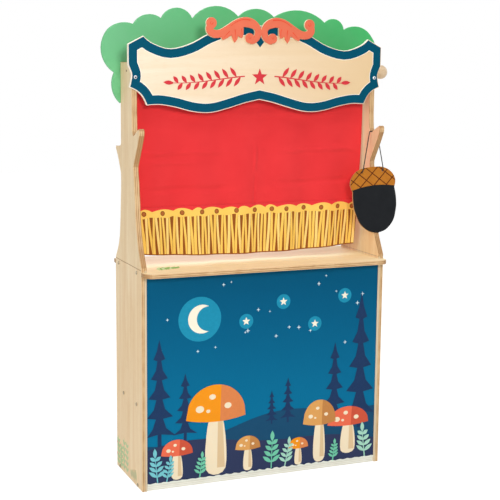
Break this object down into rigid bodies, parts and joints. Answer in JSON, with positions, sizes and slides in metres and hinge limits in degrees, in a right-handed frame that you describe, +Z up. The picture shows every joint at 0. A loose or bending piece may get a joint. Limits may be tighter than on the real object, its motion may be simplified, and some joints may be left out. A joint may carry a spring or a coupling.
{
  "type": "puppet theatre stand",
  "caption": "Wooden puppet theatre stand: counter cabinet, tree posts, scalloped sign with scroll, leaf canopy, curtain on a roller and an acorn board on a cord.",
  "frame": {"origin": "On the floor, under the middle of the cabinet's width and depth.", "axes": "+X to the right of someone who faces the front, +Y to the back, +Z up."},
  "size_m": [0.8409, 0.291, 1.3116],
  "materials": {
    "birch_plywood": "clear satin lacquer",
    "beech": "clear satin lacquer",
    "printed_panel": "printed, satin",
    "printed_sign": "printed, satin",
    "coral_paint": "satin paint",
    "green_paint": "satin paint",
    "chalkboard_paint": "matt paint",
    "red_cloth": "plain woven",
    "gold_cloth": "plain woven, printed",
    "steel": "satin",
    "brass": "satin",
    "black_cord": "braided cotton"
  },
  "bodies": {
    "stand": {"left_side_panel": "birch_plywood", "right_side_panel": "birch_plywood", "counter_board": "birch_plywood", "shelf_board": "birch_plywood", "bottom_board": "birch_plywood", "front_panel": "printed_panel", "left_tree_post": "birch_plywood", "right_tree_post": "birch_plywood", "sign_board": "printed_sign", "scroll_ornament": "coral_paint", "canopy_board": "green_paint", "curtain_cloth": "red_cloth", "left_counter_front_bolt": "steel", "left_counter_back_bolt": "steel", "right_counter_front_bolt": "steel", "right_counter_back_bolt": "steel", "left_shelf_front_bolt": "steel", "left_shelf_back_bolt": "steel", "right_shelf_front_bolt": "steel", "right_shelf_back_bolt": "steel", "left_bottom_front_bolt": "steel", "left_bottom_back_bolt": "steel", "right_bottom_front_bolt": "steel", "right_bottom_back_bolt": "steel", "left_sign_screw": "steel", "right_sign_screw": "steel", "left_canopy_upper_screw": "steel", "left_canopy_lower_screw": "steel", "right_canopy_upper_screw": "steel", "right_canopy_lower_screw": "steel", "left_counter_front_insert": "brass", "left_counter_back_insert": "brass", "right_counter_front_insert": "brass", "right_counter_back_insert": "brass", "left_shelf_front_insert": "brass", "left_shelf_back_insert": "brass", "right_shelf_front_insert": "brass", "right_shelf_back_insert": "brass", "left_bottom_front_insert": "brass", "left_bottom_back_insert": "brass", "right_bottom_front_insert": "brass", "right_bottom_back_insert": "brass", "left_front_dowel": "beech", "left_back_dowel": "beech", "right_front_dowel": "beech", "right_back_dowel": "beech"},
    "roller": {"roller_rod": "beech", "roller_knob": "beech", "roller_pivot_screw": "steel", "curtain_roll": "red_cloth"},
    "curtain_band": {"curtain_hem_band": "gold_cloth"},
    "acorn": {"acorn_board": "chalkboard_paint", "acorn_cord": "black_cord", "left_cord_knot": "black_cord", "right_cord_knot": "black_cord"}
  },
  "joints": [
    {"name": "curtain_lift", "type": "slide", "parent": "stand", "child": "curtain_band", "axis": [0, 0, 1], "range_m": [0, 0.34], "deforming": ["curtain_cloth"]},
    {"name": "roller_turn", "type": "hinge", "parent": "stand", "child": "roller", "pos_m": [0, 0.005, 1.133], "axis": [-1, 0, 0], "range_deg": [0, 1370]},
    {"name": "acorn_swing", "type": "hinge", "parent": "stand", "child": "acorn", "pos_m": [0.355, -0.054, 0.96571], "axis": [-1, 0, 0], "range_deg": [0, 60]}
  ],
  "couplings": [
    {"joint": "roller_turn", "follows": "curtain_lift", "rad_per_m": 69.93}
  ]
}
